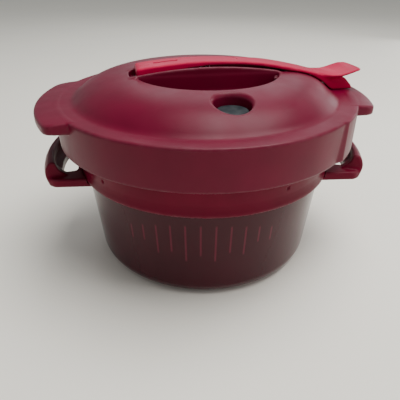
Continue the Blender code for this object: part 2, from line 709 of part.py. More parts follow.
def bush_foot_z():
    """Lower face of the indicator's bush."""
    return crown_z(math.hypot(*WELL_PLACE) + 9.0) - INNER_SHELL - 2.2


def hub_foot_z():
    """Lower face of the indicator's hub, just above the plunger."""
    return crown_z(math.hypot(*WELL_PLACE) - 9.0) + 2.0 + 2 * GAP + 1.2


def make_pressure_indicator(parent):
    """A disc at the bottom of the well, on a hub that slides in the well's floor."""
    foot = hub_foot_z()
    head = WELL_FLOOR_Z - WELL_FLOOR - GAP - INDICATOR_TRAVEL
    profile = [(0, foot), (5.6, foot), (5.6, head), (HUB_RADIUS, head), (HUB_RADIUS, DISC_Z - 2.4),
               (DISC_RADIUS - 0.5, DISC_Z - 2.0), (DISC_RADIUS, DISC_Z - 1.6), (DISC_RADIUS, DISC_Z - 0.6),
               (DISC_RADIUS - 0.6, DISC_Z), (0, DISC_Z)]
    plastic(turned("pressure_indicator", profile, 24, WELL_PLACE, parent), "indicator_teal")


def make_indicator_plunger(parent):
    """The pin through the inner cover that pressure lifts against the indicator's hub."""
    top = hub_foot_z() - GAP
    seal_foot = bush_foot_z() - INDICATOR_TRAVEL - SEAL_THICKNESS - GAP
    profile = [(0, seal_foot - 1.9), (4.0, seal_foot - 1.9), (4.0, seal_foot - GAP), (2.3, seal_foot - GAP),
               (2.3, top - 0.8), (4.2, top - 0.8), (4.2, top), (0, top)]
    plastic(turned("indicator_plunger", profile, SMALL_STEPS, WELL_PLACE, parent), "indicator_teal")


def make_indicator_seal(parent):
    """A silicone ring on the plunger, which closes the hole when pressure lifts it."""
    top = bush_foot_z() - INDICATOR_TRAVEL - GAP
    profile = [(2.6, top - SEAL_THICKNESS), (4.8, top - SEAL_THICKNESS), (4.8, top), (2.6, top)]
    plastic(turned("indicator_seal", profile, SMALL_STEPS, WELL_PLACE, parent), "silicone")


def empty(name, place=(0, 0, 0), parent=None, turn=0.0):
    axis = bpy.data.objects.new(name, None)
    bpy.context.scene.collection.objects.link(axis)
    axis.parent = parent
    axis.location = [value * MM for value in place]
    axis.rotation_euler = (0, 0, math.radians(turn))
    return axis


def build():
    clear_scene()
    make_pot_shell()
    make_pot_collar()
    make_pot_handle("right_pot_handle", 1)
    make_pot_handle("left_pot_handle", -1)

    lid_axis = empty("lid_axis", turn=LID_REST_TURN)
    make_inner_cover(lid_axis)
    make_silicone_gasket(lid_axis)
    grommet("relief_seat", (0, 0), SEAT_HOLE, 2.6, crown_z(0), crown_z(SEAT_HOLE) - INNER_SHELL, 9.4, lid_axis)
    reach = math.hypot(*WELL_PLACE)
    grommet("indicator_bush", WELL_PLACE, INDICATOR_HOLE, 2.7, crown_z(reach - 9.0),
            crown_z(reach + 9.0) - INNER_SHELL, 8.6, lid_axis)
    make_safety_plug(lid_axis)
    make_vent_filter(lid_axis)

    make_outer_cover(lid_axis)
    make_retaining_ring(lid_axis)
    make_relief_spring(lid_axis)
    make_lever_pin(lid_axis)
    make_release_lever(lid_axis)
    make_relief_stem(lid_axis)
    make_stem_button(lid_axis)
    make_pressure_indicator(lid_axis)
    make_indicator_plunger(lid_axis)
    make_indicator_seal(lid_axis)


build()
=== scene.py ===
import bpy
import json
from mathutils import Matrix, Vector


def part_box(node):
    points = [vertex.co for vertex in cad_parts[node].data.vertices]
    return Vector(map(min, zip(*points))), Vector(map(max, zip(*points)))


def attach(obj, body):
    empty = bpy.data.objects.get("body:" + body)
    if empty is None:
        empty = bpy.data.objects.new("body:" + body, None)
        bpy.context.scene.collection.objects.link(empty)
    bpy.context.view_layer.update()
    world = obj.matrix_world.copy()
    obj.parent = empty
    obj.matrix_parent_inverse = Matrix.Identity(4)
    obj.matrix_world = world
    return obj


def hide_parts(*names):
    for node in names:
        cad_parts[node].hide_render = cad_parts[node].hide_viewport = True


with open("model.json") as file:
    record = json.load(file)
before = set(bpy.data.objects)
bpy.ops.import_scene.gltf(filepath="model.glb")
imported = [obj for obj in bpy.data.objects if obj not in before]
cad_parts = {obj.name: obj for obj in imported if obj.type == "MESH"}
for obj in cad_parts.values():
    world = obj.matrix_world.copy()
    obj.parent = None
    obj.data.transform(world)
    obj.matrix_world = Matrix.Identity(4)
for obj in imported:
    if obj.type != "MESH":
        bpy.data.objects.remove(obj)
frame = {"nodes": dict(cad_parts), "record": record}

"""Looks for a microwave pressure cooker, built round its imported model.

Large moulded pieces are described as distance fields, in millimetres, and skinned into meshes;
round pieces are turned. Lid pieces are described in the lid's own frame, LID_TURN from the pot's.
"""
import json
import math

import bmesh
import bpy
import numpy as np
from mathutils import Matrix, Vector

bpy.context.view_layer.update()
MM = 0.001
GAP = 0.3
JOINTS = {joint["name"]: joint for joint in frame["record"]["behaviour"]["joints"]}
LID_TURN = math.atan2(JOINTS["lever_hinge"]["axis"][0], -JOINTS["lever_hinge"]["axis"][1])


def top_of(node):
    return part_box(node)[1].z / MM


def foot_of(node):
    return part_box(node)[0].z / MM


# ---------------------------------------------------------------- distance fields

LAYERS_AT_ONCE = 12
SETTLE_ROUNDS = 2


def join(a, b, blend=0.0):
    """Both solids; blend is how wide the seam between them is rounded."""
    low = np.minimum(a, b)
    if blend:
        near = np.maximum(blend - np.abs(a - b), 0.0)
        low = low - near * near / (4 * blend)
    return low


def common(a, b, blend=0.0):
    return -join(-a, -b, blend)


def minus(a, b, blend=0.0):
    return common(a, -b, blend)


def rounded_common(a, b, radius):
    """Where two solids overlap, with their shared edge rounded to a true radius."""
    over = np.hypot(np.maximum(a + radius, 0), np.maximum(b + radius, 0))
    return over + np.minimum(np.maximum(a, b) + radius, 0) - radius


def slab(value, low, high):
    return np.maximum(low - value, value - high)


def fold(angle, count, first):
    """Angle, in degrees, from the nearest of count equal places round the axis."""
    pitch = 360.0 / count
    return (angle - first + pitch / 2) % pitch - pitch / 2


def sector(radius, angle, half):
    """Distance outside a sector of half a turn each side, along the arc."""
    return (np.abs(angle) - half) * radius * (math.pi / 180)


class Turned:
    """Distance to a solid of revolution, read from a fine table over (radius, z)."""

    def __init__(self, outline, pitch=0.25, margin=8.0):
        outline = np.array(outline, float)
        self.pitch = pitch
        self.low = outline.min(0) - margin
        size = np.ceil((outline.max(0) + margin - self.low) / pitch).astype(int) + 1
        r = self.low[0] + pitch * np.arange(size[0])[:, None]
        z = self.low[1] + pitch * np.arange(size[1])[None, :]
        nearest = np.full(size, 1e9)
        inside = np.zeros(size, bool)
        for (r0, z0), (r1, z1) in zip(outline, np.roll(outline, -1, axis=0)):
            along_r, along_z = r1 - r0, z1 - z0
            length = along_r ** 2 + along_z ** 2
            share = np.clip(((r - r0) * along_r + (z - z0) * along_z) / max(length, 1e-9), 0, 1)
            apart = (r - r0 - share * along_r) ** 2 + (z - z0 - share * along_z) ** 2
            nearest = np.minimum(nearest, apart)
            if z0 != z1:
                crossed = (z0 > z) != (z1 > z)
                inside ^= crossed & (r < r0 + (z - z0) * along_r / along_z)
        self.table = np.where(inside, -1.0, 1.0) * np.sqrt(nearest)

    def __call__(self, radius, z):
        radius, z = np.broadcast_arrays(radius, z)
        limit = np.array(self.table.shape) - 1.001
        u = np.clip((radius - self.low[0]) / self.pitch, 0, limit[0])
        v = np.clip((z - self.low[1]) / self.pitch, 0, limit[1])
        i, j = u.astype(int), v.astype(int)
        u, v = u - i, v - j
        t = self.table
        return ((t[i, j] * (1 - u) + t[i + 1, j] * u) * (1 - v)
                + (t[i, j + 1] * (1 - u) + t[i + 1, j + 1] * u) * v)


def skin(field, low, high, pitch):
    """Surface net of a field over a box: one point in each cell the surface crosses."""
    axes = [np.arange(a - 2 * pitch, b + 2.5 * pitch, pitch) for a, b in zip(low, high)]
    x, y, z = axes[0][:, None, None], axes[1][None, :, None], axes[2][None, None, :]
    value = np.empty([len(axis) for axis in axes], np.float32)
    for start in range(0, len(axes[2]), LAYERS_AT_ONCE):
        layers = slice(start, start + LAYERS_AT_ONCE)
        value[:, :, layers] = field(x, y, z[:, :, layers])
    solid = value < 0
    corners = [(i, j, k) for i in (0, 1) for j in (0, 1) for k in (0, 1)]
    cells = [count - 1 for count in value.shape]

    def at(array, corner):
        i, j, k = corner
        return array[i:i + cells[0], j:j + cells[1], k:k + cells[2]]

    held = sum(at(solid, corner).astype(np.int8) for corner in corners)
    crossed = np.nonzero((held > 0) & (held < 8))
    corner_value = {c: value[crossed[0] + c[0], crossed[1] + c[1], crossed[2] + c[2]] for c in corners}
    total = np.zeros((len(crossed[0]), 3))
    count = np.zeros(len(crossed[0]))
    for a in corners:
        for axis in range(3):
            if a[axis]:
                continue
            b = tuple(1 if n == axis else a[n] for n in range(3))
            va, vb = corner_value[a], corner_value[b]
            cut = (va < 0) != (vb < 0)
            share = np.where(cut, va / np.where(cut, va - vb, 1), 0)
            for n in range(3):
                total[:, n] += cut * (a[n] + (share if n == axis else 0))
            count += cut
    points = np.stack(crossed, 1) + total / count[:, None]
    points = points * pitch + [axis[0] for axis in axes]
    index = np.full(cells, -1, np.int32)
    index[crossed] = np.arange(len(points))
    quads = []
    for axis in range(3):
        here = [slice(None)] * 3
        there = [slice(None)] * 3
        here[axis], there[axis] = slice(0, -1), slice(1, None)
        change = solid[tuple(here)] != solid[tuple(there)]
        i, j, k = np.nonzero(change)
        second, third = [(1, 2), (2, 0), (0, 1)][axis]
        step = np.eye(3, dtype=int)
        ring = []
        for back in ((1, 1), (0, 1), (0, 0), (1, 0)):
            move = back[0] * step[second] + back[1] * step[third]
            ring.append(index[i - move[0], j - move[1], k - move[2]])
        quad = np.stack(ring, 1)
        outward = solid[tuple(here)][i, j, k]
        quads.append(np.where(outward[:, None], quad, quad[:, ::-1]))
    for _ in range(SETTLE_ROUNDS):
        points = settle(field, points, pitch)
    return points, np.concatenate(quads)


def settle(field, points, pitch, reach=0.04):
    """Move points onto the field's surface, along its gradient."""
    value = field(*points.T)
    slope = []
    for axis in np.eye(3):
        ahead = field(*(points + reach * axis).T)
        behind = field(*(points - reach * axis).T)
        slope.append((ahead - behind) / (2 * reach))
    slope = np.stack(slope, 1)
    move = -value[:, None] * slope / np.maximum((slope ** 2).sum(1), 0.05)[:, None]
    length = np.linalg.norm(move, axis=1)[:, None]
    return points + move * np.minimum(1, 0.5 * pitch / np.maximum(length, 1e-9))


# ---------------------------------------------------------------- pieces

SHARP_ANGLE = math.radians(40)


def place_mesh(name, points, faces, turn=0.0):
    """A piece from points in millimetres, in a frame turned about Z."""
    c, s = math.cos(turn), math.sin(turn)
    points = np.asarray(points, float) * MM
    x, y, z = points.T
    world = np.stack([x * c - y * s, x * s + y * c, z], 1)
    mesh = bpy.data.meshes.new(name)
    mesh.from_pydata(world.tolist(), [], [list(face) for face in faces])
    mesh.validate()
    mesh.shade_smooth()
    piece = bpy.data.objects.new(name, mesh)
    bpy.context.scene.collection.objects.link(piece)
    return piece


def settle_in(piece, material, body, slot, *nodes):
    """Give a piece its material and body, and hide the nodes it stands for; the slot argument is not used."""
    piece.data.materials.clear()
    piece.data.materials.append(material)
    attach(piece, body)
    if nodes:
        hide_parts(*nodes)
    return piece


def moulded(name, field, low, high, pitch, turn=0.0):
    """Mesh a field over a box, at the given pitch."""
    points, quads = skin(field, low, high, pitch)
    return place_mesh(name, points, quads.tolist(), turn)


def lathe(name, outline, steps, turn=0.0):
    """Turn a closed (radius, z) outline; a radius of 0 is a point on the axis."""
    points, rings = [], []
    for radius, z in outline:
        ring = []
        for step in range(1 if radius < 1e-6 else steps):
            angle = 2 * math.pi * step / steps
            ring.append(len(points))
            points.append((radius * math.cos(angle), radius * math.sin(angle), z))
        rings.append(ring)
    faces = []
    for low, high in zip(rings, rings[1:] + rings[:1]):
        for step in range(steps):
            after = (step + 1) % steps
            face = [low[step % len(low)], low[after % len(low)]]
            face += [high[after % len(high)], high[step % len(high)]]
            face = list(dict.fromkeys(face))
            if len(face) > 2:
                faces.append(face)
    piece = place_mesh(name, points, faces, turn)
    work = bmesh.new()
    work.from_mesh(piece.data)
    bmesh.ops.recalc_face_normals(work, faces=work.faces)
    work.to_mesh(piece.data)
    work.free()
    piece.data.set_sharp_from_angle(angle=SHARP_ANGLE)
    return piece


def rounded(outline, radius, count=4):
    """An outline with each corner replaced by a short curve."""
    result = []
    size = len(outline)
    for index in range(size):
        before, here, after = (Vector(outline[(index + n) % size]) for n in (-1, 0, 1))
        if here.x < 1e-6:
            result.append(tuple(here))
            continue
        reach = min(radius, (before - here).length * 0.45, (after - here).length * 0.45)
        start = here + (before - here).normalized() * reach
        end = here + (after - here).normalized() * reach
        for step in range(count + 1):
            share = step / count
            point = start * (1 - share) ** 2 + here * 2 * share * (1 - share) + end * share ** 2
            result.append((max(point.x, 0.0), point.y))
    return result


# ---------------------------------------------------------------- outer cover

FLANGE_Z = 137.0
FLANGE_RADIUS = 120.0
SKIRT_Z = foot_of("outer_cover")
SKIRT_RADIUS_LOW = 118.8
SKIRT_INNER = 114.5
SHELL = 3.0
DOME_RISE = 17.6
DOME_RADIUS = 105.5
DOME_POWER = 6.5
GRIP_RADIUS = 56.8
GRIP_FLOOR_Z = 141.0
BOWL_SHIFT = 2.8
FLOOR = 2.5
BRIDGE_HALF = 16.0
BRIDGE_CROWN_Z = 160.2
BRIDGE_ARCH = 0.00145
BRIDGE_DIP = 0.05
BRIDGE_DIP_FROM = 55.0
BRIDGE_REACH = 72.0
TROUGH_HALF = 13.0
TROUGH_LEFT = -60.5
TROUGH_RIGHT = 67.0
TROUGH_FLOOR_Z = 149.7
EAR_REACH = 134.2
EAR_ROOT = 119.2
EAR_SIDE = 57.3
EAR_DROOP = 1.9
EAR_DEPTH = 8.5
PANEL_HALF = 47.0
PANEL_RAMP = 3.5
PANEL_RADIUS = 121.6
WELL = (2.8, -77.0)
WELL_RADIUS = 12.8
WELL_FLARE = 2.1
WELL_TUBE_RADIUS = 14.8
WELL_FLOOR_Z = 140.5
PIN = (-51.3, 153.6)
LUG_SHIFT = math.degrees(LID_TURN) + 11.2
LUG_FIRST = 60.0 - LUG_SHIFT + 22.4
LUG_HALF = 9.0
PANEL_STEP = 0.6
EAR_FROM = 60.0
PAD_RADII = (103.8, 107.4)
PAD_HALF = 5.0
GRIP_SLOPE = (0.05, 0.03)
GRIP_TOP_Z = 154
RIB_PLACES = (19.5, 24.5)
RIB_HALF = 0.8
STEM_HOLE = 2.8
PLUNGER_HOLE = 4.6
PIN_HOLE = 1.7
PAST_AXIS = -6.0


def dome_z(radius):
    return FLANGE_Z + DOME_RISE * (1 - (radius / DOME_RADIUS) ** DOME_POWER)


def cover_outline():
    outline = []
    for radius in np.arange(0.0, 109.0, 1.0):
        outline.append((radius, float(common(dome_z(radius), FLANGE_Z, 3.0))))
    outline += [(118.3, FLANGE_Z), (119.1, 136.8), (119.7, 136.3), (FLANGE_RADIUS, 135.4)]
    outline += [(SKIRT_RADIUS_LOW, SKIRT_Z + 0.5), (SKIRT_RADIUS_LOW - 0.5, SKIRT_Z), (SKIRT_INNER, SKIRT_Z)]
    outline += [(SKIRT_INNER, FLANGE_Z - SHELL), (103.4, FLANGE_Z - SHELL)]
    for radius in (101.5, 98.5, 94.5, 89.0, 82.0, 72.0):
        fall = math.atan(DOME_RISE * DOME_POWER / DOME_RADIUS * (radius / DOME_RADIUS) ** (DOME_POWER - 1))
        outline.append((radius - SHELL * math.sin(fall), dome_z(radius) - SHELL * math.cos(fall)))
    drum = GRIP_RADIUS + FLOOR + BOWL_SHIFT
    outline += [(drum, dome_z(drum) - SHELL), (drum, GRIP_FLOOR_Z - FLOOR), (0, GRIP_FLOOR_Z - FLOOR)]
    return outline


cover_shell = Turned([(PAST_AXIS, outline_z) if radius == 0 else (radius, outline_z)
                      for radius, outline_z in cover_outline()])


def ear_top(radius):
    return FLANGE_Z - EAR_DROOP * np.clip((radius - EAR_ROOT) / (EAR_REACH - EAR_ROOT), 0, 1.2) ** 1.4


def cover_field(x, y, z):
    radius = np.hypot(x, y)
    angle = np.degrees(np.arctan2(y, x))
    side = np.abs(y)
    solid = cover_shell(radius, z)

    crown = BRIDGE_CROWN_Z - BRIDGE_ARCH * x * x
    crown = crown - BRIDGE_DIP * np.maximum(np.abs(x) - BRIDGE_DIP_FROM, 0) ** 2
    bridge = np.maximum(common(side - BRIDGE_HALF, z - crown, 0.9), TROUGH_FLOOR_Z - FLOOR - z)
    solid = join(solid, np.maximum(bridge, np.abs(x) - BRIDGE_REACH), 2.0)

    proud = np.clip((PANEL_HALF + PANEL_RAMP - np.abs(angle)) / PANEL_RAMP, 0, 1)
    sunk_radius = SKIRT_RADIUS_LOW - PANEL_STEP
    panel_radius = sunk_radius + (PANEL_RADIUS - SKIRT_RADIUS_LOW + PANEL_STEP) * proud
    panel = slab(radius, SKIRT_INNER + 0.8, panel_radius)
    panel = np.maximum(panel, sector(radius, angle, PANEL_HALF + PANEL_RAMP))
    solid = join(solid, common(panel, slab(z, SKIRT_Z + 0.4, FLANGE_Z - 0.2), 1.2), 0.6)

    ear = common(radius - EAR_REACH, side - EAR_SIDE, 6.0)
    ear = common(ear, z - ear_top(radius), 2.2)
    ear = common(ear, FLANGE_Z - EAR_DEPTH - z, 1.2)
    ear = np.maximum(ear, SKIRT_INNER + 1.5 - radius)
    solid = join(solid, np.maximum(ear, EAR_FROM - np.abs(x)), 0.8)
    root = np.where(x > 0, PANEL_RADIUS, FLANGE_RADIUS) + 0.1
    pocket = common(radius - EAR_REACH + SHELL, side - EAR_SIDE + SHELL, 5.0)
    pocket = common(pocket, z - ear_top(radius) + SHELL, 2.0)
    pocket = np.maximum(pocket, np.maximum(root - radius, EAR_FROM - np.abs(x)))
    solid = minus(solid, pocket, 0.6)

    lug = np.maximum(slab(radius, 109.0, SKIRT_INNER + 1.2), slab(z, SKIRT_Z + 0.2, SKIRT_Z + 3.3))
    lug = common(lug, sector(radius, fold(angle, 6, LUG_FIRST), LUG_HALF), 1.0)
    solid = join(solid, lug, 0.8)
    pad = np.maximum(slab(radius, *PAD_RADII), slab(z, 124.8, 135.5))
    solid = join(solid, np.maximum(pad, sector(radius, fold(angle, 6, 0.0), PAD_HALF)), 0.6)

    out = np.hypot(x - WELL[0], y - WELL[1])
    tube = np.maximum(out - WELL_TUBE_RADIUS, np.maximum(WELL_FLOOR_Z - 2.0 - z, z - dome_z(radius) + 1.2))
    solid = join(solid, tube, 1.0)

    bowl = np.minimum(radius - GRIP_RADIUS, np.hypot(x - 2.0, y) - GRIP_RADIUS - BOWL_SHIFT + 2.0)
    bowl_slope, bridge_slope = GRIP_SLOPE
    depth = GRIP_TOP_Z - z
    grip = common(bowl + bowl_slope * depth, BRIDGE_HALF + bridge_slope * depth - side, 0.8)
    from_rib = np.minimum(np.abs(angle + RIB_PLACES[0]), np.abs(angle + RIB_PLACES[1]))
    rib = from_rib * radius * (math.pi / 180) - RIB_HALF
    grip = minus(grip, np.maximum(rib, np.maximum(GRIP_RADIUS - 1.0 - radius, z - 152.6)), 0.9)
    solid = minus(solid, common(grip, GRIP_FLOOR_Z - z, 3.0), 1.3)
    trough = common(side - TROUGH_HALF, slab(x, TROUGH_LEFT, TROUGH_RIGHT), 8.0)
    solid = minus(solid, common(trough, TROUGH_FLOOR_Z - z, 1.0), 0.7)
    core = np.maximum(slab(x, -48, 48), np.maximum(side - 13, slab(z, 130, TROUGH_FLOOR_Z - FLOOR)))
    solid = minus(solid, core, 1.0)
    solid = minus(solid, np.maximum(radius - STEM_HOLE, slab(z, 130, 156)), 0.4)
    pin = np.hypot(x - PIN[0], z - PIN[1])
    solid = minus(solid, np.maximum(pin - PIN_HOLE, side - 14.9), 0.3)
    flare = WELL_FLARE * np.clip(1 - (dome_z(radius) - z) / 3.2, 0, 1.3) ** 2
    solid = minus(solid, np.maximum(out - WELL_RADIUS - flare, WELL_FLOOR_Z - z), 0.5)
    return minus(solid, np.maximum(out - PLUNGER_HOLE, slab(z, 130, 146)), 0.4)


# ---------------------------------------------------------------- lever

def curve(points, blur=4.0):
    """A smooth reading of a short list of (x, value)."""
    points = np.array(points, float)
    fine = np.arange(points[0, 0] - 10, points[-1, 0] + 10.01, 0.5)
    level = np.interp(fine, points[:, 0], points[:, 1])
    width = max(1, int(blur / 0.5))
    window = np.hanning(width + 2)[1:-1]
    padded = np.pad(level, width, mode="edge")
    level = np.convolve(padded, window / window.sum(), mode="same")[width:-width]
    return lambda x: np.interp(x, fine, level)


lever_top = curve([(-55, 160.0), (-53.4, 160.4), (-45, 161.5), (-30, 163.0), (-15, 163.9), (0, 164.0),
                   (15, 163.6), (30, 162.7), (45, 161.4), (54, 160.1), (66, 157.8), (78, 155.2),
                   (84, 153.8), (90, 152.2), (97, 150.4), (105, 148.8), (112, 148.2), (118, 146.8),
                   (122, 142.8), (126, 139.0)])
lever_low = curve([(-55, 153.0), (-53.4, 151.6), (-51.3, 150.8), (-47, 151.8), (-30, 156.4), (-15, 159.2),
                   (0, 160.6), (15, 160.7), (30, 160.1), (45, 158.5), (54, 156.9), (66, 154.8),
                   (78, 152.7), (84, 151.3), (90, 149.0), (97, 145.1), (101, 142.2), (105, 138.9),
                   (107.6, 137.5), (126, 137.4)], 1.5)
lever_half = curve([(-55, 12.5), (-30, 12.1), (0, 10.6), (30, 10.4), (54, 11.6), (66, 12.5), (97, 12.8),
                    (126, 12.8)], 12.0)
paddle_half = curve([(96, 9.0), (100, 12.0), (105, 14.8), (112, 16.6), (118, 17.2), (124, 16.8), (129, 14.4),
                     (132, 10.8), (133.6, 6.4), (134.4, 0.0), (136, -10.0), (140, -30.0)], 1.5)
paddle_low = curve([(96, 148.0), (100, 147.3), (105, 146.6), (112, 146.9), (118, 148.4), (124, 150.2),
                    (129, 151.0), (133, 150.5), (135, 150.0)], 6.0)
LEVER_LEFT = -55.2
LEVER_RIGHT = 126.0
WALL = 2.0
PLATE = 2.2
PIN_BOSS = 3.4
PADDLE_FROM = 96
PADDLE_THICKNESS_HALF = 1.15


def lever_field(x, y, z):
    side = np.abs(y)
    half = lever_half(x)
    top = lever_top(x)
    solid = common(side - half, z - top + 0.3 * (side / half) ** 2, 1.7)
    solid = common(solid, slab(x, LEVER_LEFT, LEVER_RIGHT), 2.4)
    solid = common(solid, lever_low(x) - z, 0.8)
    hollow = np.maximum(side - half + WALL, z - top + PLATE)
    hollow = np.maximum(hollow, slab(x, -52.0, 121.0))
    solid = minus(solid, hollow, 0.6)
    pin = np.hypot(x - PIN[0], z - PIN[1])
    solid = join(solid, np.maximum(pin - PIN_BOSS, side - 11.4), 0.8)
    outline = (side - paddle_half(x)) / 1.25
    middle = paddle_low(x) + 1.1 + 1.2 * (y / 16) ** 2
    paddle = common(outline, np.abs(z - middle) - PADDLE_THICKNESS_HALF, 1.8)
    solid = join(solid, np.maximum(paddle, PADDLE_FROM - x), 2.4)
    slot = np.maximum(slab(x, -41, -22), np.maximum(side - 1.3, 155 - z))
    solid = minus(solid, slot, 0.5)
    return minus(solid, np.maximum(pin - PIN_HOLE, side - 30), 0.2)


# ---------------------------------------------------------------- pot

COLLAR_Z = foot_of("pot_collar")
COLLAR_TOP_Z = top_of("pot_collar")
COLLAR_RADIUS = 105.4
NECK_RADIUS = 104.4
FOOT_RADIUS = 81.0
FOOT_ROUND = 13.5
POT_WALL = 3.0
POT_LOW, POT_LIP, POT_RIM = 94.4, 100.8, 108.0
POT_TOP_Z = top_of("pot_shell")
RIM_THICKNESS = 2.6
TAB_RADIUS = 112.0
TAB_Z = (109.6, 112.8)
TAB_HALF = 9.0
NOTCH_RADIUS = 104.0
NOTCHES = ((-138.7, 92.0), (-60.0, 94.0))


def pot_radius(z):
    return POT_LOW + (POT_LIP - POT_LOW) * (z - FOOT_ROUND) / (COLLAR_Z - FOOT_ROUND)


def bend(centre, radius, start, end, count):
    points = []
    for step in range(count + 1):
        angle = math.radians(start + (end - start) * step / count)
        points.append((centre[0] + radius * math.cos(angle), centre[1] + radius * math.sin(angle)))
    return points


def pot_outline():
    centre = (FOOT_RADIUS, FOOT_ROUND)
    under = POT_TOP_Z - RIM_THICKNESS
    outline = [(0, 0)] + bend(centre, FOOT_ROUND, -90, -4, 18)
    outline += [(pot_radius(z), z) for z in (30, 48, 64, COLLAR_Z, 98, under - 0.8)]
    outline += [(pot_radius(under) + 0.8, under), (POT_RIM - 0.6, under), (POT_RIM, under + 0.6)]
    inside = pot_radius(POT_TOP_Z) - POT_WALL
    outline += [(POT_RIM, POT_TOP_Z - 0.6), (POT_RIM - 0.6, POT_TOP_Z)]
    outline += [(inside + 0.7, POT_TOP_Z), (inside, POT_TOP_Z - 0.7)]
    outline += [(pot_radius(z) - POT_WALL, z) for z in (98, COLLAR_Z, 64, 48, 30)]
    outline += bend(centre, FOOT_ROUND - POT_WALL, -4, -90, 14) + [(0, POT_WALL)]
    return outline


def collar_field():
    top = COLLAR_TOP_Z
    hug, hug_top = POT_LIP + GAP, pot_radius(top) + GAP
    ring = Turned([(hug, COLLAR_Z), (COLLAR_RADIUS - 0.9, COLLAR_Z),
                   (COLLAR_RADIUS - 0.3, COLLAR_Z + 0.3), (COLLAR_RADIUS, COLLAR_Z + 1.0),
                   (COLLAR_RADIUS, COLLAR_Z + 2.2), (COLLAR_RADIUS - 0.3, COLLAR_Z + 4.0),
                   (NECK_RADIUS + 0.4, COLLAR_Z + 6.0), (NECK_RADIUS + 0.2, COLLAR_Z + 9.0),
                   (NECK_RADIUS + 0.5, COLLAR_Z + 13.0), (NECK_RADIUS + 2.6, top - 0.4),
                   (NECK_RADIUS + 2.2, top), (hug_top, top)])

    def field(x, y, z):
        radius = np.hypot(x, y)
        angle = np.degrees(np.arctan2(y, x))
        solid = ring(radius, z)
        tab = np.maximum(slab(radius, NECK_RADIUS - 0.4, TAB_RADIUS), slab(z, *TAB_Z))
        solid = join(solid, common(tab, sector(radius, fold(angle, 6, 30.0), TAB_HALF), 1.4), 0.8)
        for place, height in NOTCHES:
            away = (angle - place + 180) % 360 - 180
            notch = np.maximum(sector(radius, away, 0.7), np.abs(z - height) - 1.3)
            solid = minus(solid, np.maximum(notch, NOTCH_RADIUS - radius), 0.4)
        return solid

    return field


HANDLE_Z = (75.5, 82.5)
HANDLE_REACH = 132.2
HANDLE_BULGE = 134.4
HANDLE_HALF = 46.2
HANDLE_WALL_HALF = 18.8
HANDLE_TOP_Z = 95.0
HANDLE_ROOT = COLLAR_RADIUS + GAP
HANDLE_OPEN = (108.4, 120.8)
SCREW_PLACE = (111.5, 39.5)

HANDLE_THICKER = 3.5
SCREW_HOLE = 1.8
SCREW_HEAD = 3.7

handle_wall = Turned([(131.4, 76.6), (133.2, 79.6), (134.1, 82.4), (HANDLE_BULGE, 84.8), (134.2, 87.4),
                      (133.4, 90.0), (132.0, 92.6), (130.4, 94.4), (128.8, HANDLE_TOP_Z), (126.8, 94.8),
                      (125.8, 93.6), (126.0, 91.0), (126.1, 88.6), (125.2, 86.2), (122.8, 83.4),
                      (122.2, 80.0), (122.2, 76.6)])


def handle_field(x, y, z):
    """The handle on the right; the left one is the same, turned half round."""
    radius = np.hypot(x, y)
    angle = np.degrees(np.arctan2(y, x))
    side = np.abs(y)
    plan = np.maximum(rounded_common(radius - HANDLE_REACH, side - HANDLE_HALF, 5.0), 60 - x)
    deck = np.maximum(rounded_common(plan, slab(z, *HANDLE_Z), 1.6), HANDLE_ROOT - radius)
    shelf = np.maximum(rounded_common(plan, slab(z, HANDLE_Z[0], COLLAR_Z - GAP), 1.6), 101.5 - radius)
    thick = np.clip((np.abs(angle) - 11.5) / 4.5, 0, 1) * np.clip((94 - z) / 9, 0, 1)
    thick = HANDLE_THICKER * thick
    wall = np.minimum(handle_wall(radius, z), handle_wall(radius + thick, z))
    wall = rounded_common(wall, sector(radius, angle, HANDLE_WALL_HALF), 1.6)
    solid = join(np.minimum(deck, shelf), wall, 3.0)
    root = np.maximum(slab(radius, HANDLE_ROOT + 0.2, HANDLE_ROOT + 2.8), 76.0 - z)
    root = common(root, z - 89.5 + 0.010 * side * side, 1.6)
    solid = join(solid, common(root, sector(radius, angle, 23.6), 2.0), 2.4)
    hole = common(slab(radius, *HANDLE_OPEN), sector(radius, angle, 15.0), 5.0)
    solid = minus(solid, np.maximum(hole, z - HANDLE_Z[1] - 0.9), 1.4)
    screw = np.hypot(x - SCREW_PLACE[0], side - SCREW_PLACE[1])
    solid = minus(solid, np.maximum(screw - SCREW_HOLE, z - 81.0), 0.2)
    return minus(solid, np.maximum(screw - SCREW_HEAD, z - 78.0), 0.3)


# ---------------------------------------------------------------- inner lid

INNER_CROWN_Z = 133.0
INNER_CROWN_RADIUS = 88.0
INNER_SHELL = 2.5
INNER_FALL = 4.5
INNER_HOLES = (((0, 0), 6.8), (WELL, 5.4), ((-46, 46), 5.8))


def crown_z(radius):
    return INNER_CROWN_Z - INNER_FALL * (radius / INNER_CROWN_RADIUS) ** 2


inner_shell = Turned([(PAST_AXIS, INNER_CROWN_Z)] + [(r, crown_z(r)) for r in (10, 25, 44, 60, 74, 86)]
                     + [(87.6, 128.4), (88.4, 127.6), (90.4, 125.0), (91.4, 124.5), (109.2, 124.5),
                        (109.6, 124.1), (109.6, 118.1), (107.6, 118.1), (107.6, 122.0), (98.6, 122.0),
                        (98.6, 118.6), (96.4, 118.6), (96.4, 122.0), (90.4, 122.0), (87.4, 126.0)]
                     + [(r, crown_z(r) - INNER_SHELL) for r in (74, 60, 44, 25, 10)]
                     + [(PAST_AXIS, INNER_CROWN_Z - INNER_SHELL)])


